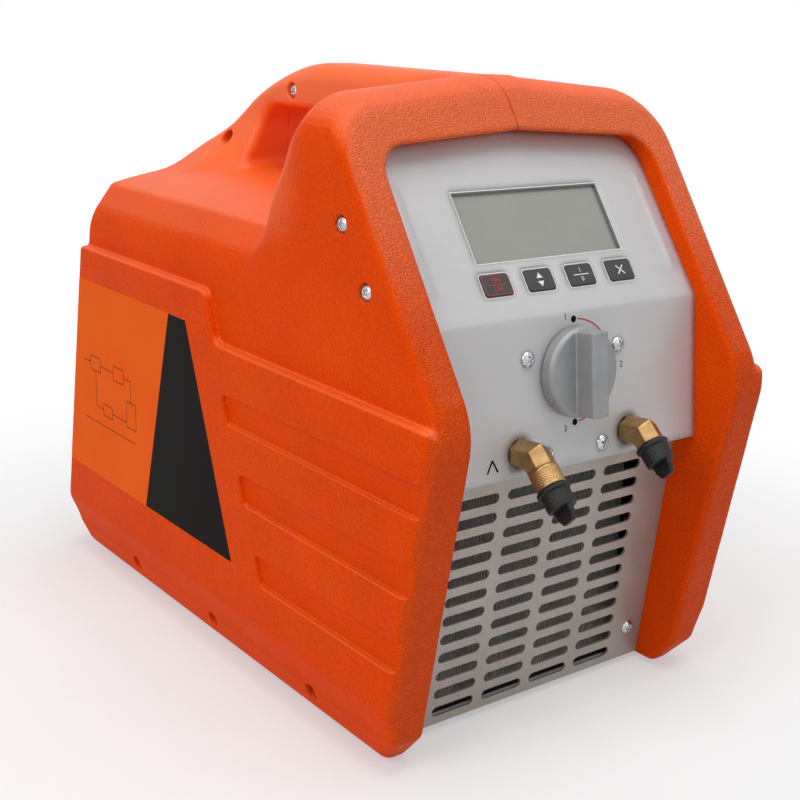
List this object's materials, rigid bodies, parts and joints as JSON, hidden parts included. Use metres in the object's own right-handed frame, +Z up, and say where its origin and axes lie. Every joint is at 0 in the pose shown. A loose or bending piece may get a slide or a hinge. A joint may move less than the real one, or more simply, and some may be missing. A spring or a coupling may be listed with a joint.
{
  "type": "refrigerant recovery machine",
  "caption": "Portable refrigerant recovery machine with two-part moulded casing, carry handle, sloped control panel, service ports and slotted grille",
  "frame": {"origin": "on the floor plane, at the centre of the outer box", "axes": "X to the right seen from the control panel, Y to the back, Z up"},
  "size_m": [0.25, 0.4507, 0.36],
  "materials": {
    "orange_plastic": "grained moulding",
    "label_print": "printed film",
    "sheet_steel": "zinc plated",
    "black_rubber": "matt",
    "silver_panel": "satin silver paint",
    "grille_metal": "satin grey paint",
    "display_glass": "clear",
    "board": "solder mask",
    "brass": "machined",
    "key_rubber": "matt",
    "knob_plastic": "satin",
    "screw_steel": "nickel plated",
    "cast_aluminium": "as cast",
    "black_plastic": "satin",
    "fin_aluminium": "mill",
    "copper": "drawn copper",
    "motor_paint": "enamel"
  },
  "bodies": {
    "machine": {"left_shell": "orange_plastic", "right_shell": "orange_plastic", "side_label": "label_print", "base_plate": "sheet_steel", "rubber_feet": "black_rubber", "foot_screws": "screw_steel", "control_panel": "silver_panel", "front_grille": "grille_metal", "rear_panel": "silver_panel", "lcd_window": "display_glass", "lcd_module": "black_plastic", "control_board": "board", "board_standoffs": "brass", "key_switches": "black_plastic", "valve_manifold": "cast_aluminium", "inlet_elbow": "brass", "inlet_sleeve": "brass", "outlet_elbow": "brass", "pressure_switch": "black_plastic", "panel_screws": "screw_steel", "grille_screws": "screw_steel", "hood_screws": "screw_steel", "handle_screws": "screw_steel", "lower_screws": "screw_steel", "rear_screws": "screw_steel", "condenser_fins": "fin_aluminium", "condenser_ends": "sheet_steel", "condenser_coil": "copper", "fan_shroud": "black_plastic", "motor_housing": "motor_paint", "motor_bracket": "sheet_steel", "crankcase": "cast_aluminium", "cylinder_barrels": "cast_aluminium", "cylinder_heads": "cast_aluminium", "suction_pipe": "copper", "discharge_pipe": "copper", "liquid_pipe": "copper", "capacitor": "black_plastic", "power_inlet": "black_plastic", "inlet_pins": "brass", "power_switch": "black_plastic"},
    "knob": {"function_knob": "knob_plastic", "valve_stem": "screw_steel"},
    "start_button": {"start_key": "key_rubber"},
    "pressure_button": {"pressure_key": "key_rubber"},
    "units_button": {"units_key": "key_rubber"},
    "alarm_button": {"alarm_key": "key_rubber"},
    "inlet_cover": {"inlet_cap": "black_plastic"},
    "outlet_cover": {"outlet_cap": "black_plastic"},
    "rotor": {"fan_rotor": "black_plastic", "motor_shaft": "screw_steel"},
    "rocker": {"power_rocker": "black_plastic"}
  },
  "joints": [
    {"name": "knob_turn", "type": "hinge", "parent": "machine", "child": "knob", "pos_m": [0, -0.18107, 0.20925], "axis": [0, 0.994, -0.1097], "range_deg": [0, 180]},
    {"name": "start_press", "type": "slide", "parent": "machine", "child": "start_button", "axis": [0, 0.8141, -0.5807], "range_m": [0, 0.0005], "stiffness_N_per_m": 1200, "springref_m": -0.0002},
    {"name": "pressure_press", "type": "slide", "parent": "machine", "child": "pressure_button", "axis": [0, 0.8141, -0.5807], "range_m": [0, 0.0005], "stiffness_N_per_m": 1200, "springref_m": -0.0002},
    {"name": "units_press", "type": "slide", "parent": "machine", "child": "units_button", "axis": [0, 0.8141, -0.5807], "range_m": [0, 0.0005], "stiffness_N_per_m": 1200, "springref_m": -0.0002},
    {"name": "alarm_press", "type": "slide", "parent": "machine", "child": "alarm_button", "axis": [0, 0.8141, -0.5807], "range_m": [0, 0.0005], "stiffness_N_per_m": 1200, "springref_m": -0.0002},
    {"name": "inlet_cap_off", "type": "slide", "parent": "machine", "child": "inlet_cover", "axis": [0, -0.723, -0.6909], "range_m": [0, 0.016]},
    {"name": "outlet_cap_off", "type": "slide", "parent": "machine", "child": "outlet_cover", "axis": [0, -0.723, -0.6909], "range_m": [0, 0.016]},
    {"name": "fan_spin", "type": "hinge", "parent": "machine", "child": "rotor", "pos_m": [0, -0.0943, 0.084], "axis": [0, 1, 0], "continuous": true},
    {"name": "rocker_tilt", "type": "hinge", "parent": "machine", "child": "rocker", "pos_m": [-0.008, 0.21027, 0.08176], "axis": [0, -0.1874, 0.9823], "range_deg": [-9, 9]}
  ]
}
